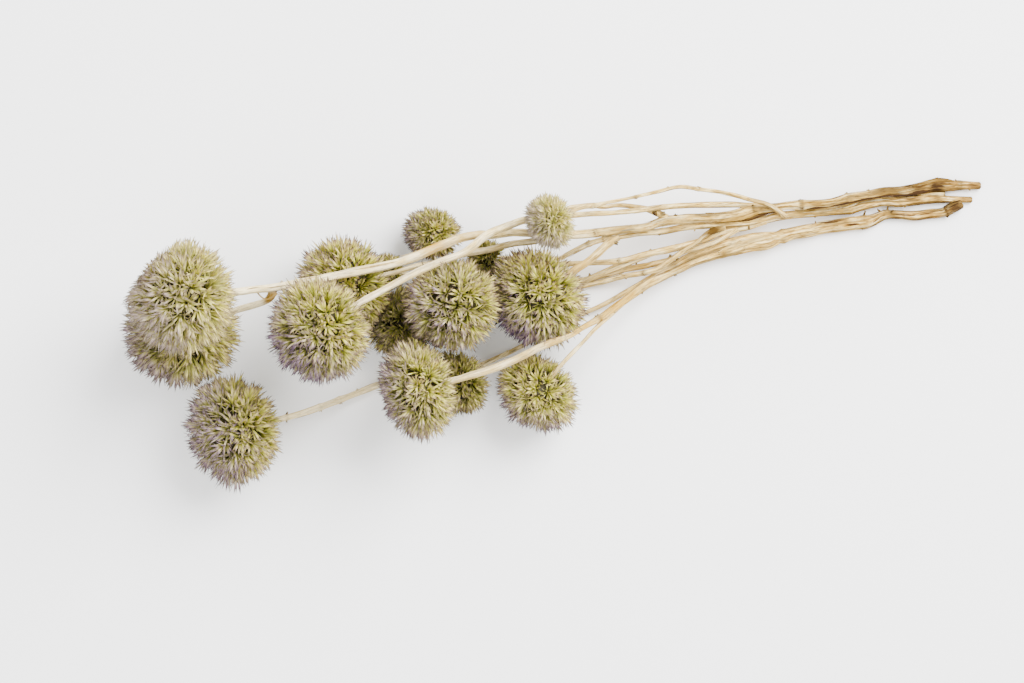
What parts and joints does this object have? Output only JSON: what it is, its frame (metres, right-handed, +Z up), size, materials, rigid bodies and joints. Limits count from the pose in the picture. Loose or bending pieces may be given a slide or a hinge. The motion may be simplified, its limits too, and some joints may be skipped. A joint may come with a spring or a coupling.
{
  "type": "dried globe thistle bunch",
  "caption": "Bunch of cut, dried globe thistles lying down: branched, bleached woody stems with ball-shaped heads of narrow pointed bracts.",
  "frame": {"origin": "middle of the bunch's outline in plan, on the surface it lies on", "axes": "+X along the bunch from the heads to the cut ends, +Y across it, +Z up"},
  "size_m": [0.5934, 0.2112, 0.1464],
  "materials": {
    "flower_head": "matt dried bracts, yellow-green at the bases and pale straw to lilac-grey at the tips",
    "stem": "matt bleached woody stem, cream to brown, ribbed lengthwise"
  },
  "bodies": {
    "root": {"head_a1": "flower_head", "head_a2": "flower_head", "head_a3": "flower_head", "head_a4": "flower_head", "head_a5": "flower_head", "head_b1": "flower_head", "head_b2": "flower_head", "head_b3": "flower_head", "head_b4": "flower_head", "head_b5": "flower_head", "head_b6": "flower_head", "head_c1": "flower_head", "head_c2": "flower_head", "head_c3": "flower_head", "head_c4": "flower_head", "stem_a": "stem", "stem_b": "stem", "stem_c": "stem"}
  },
  "joints": []
}
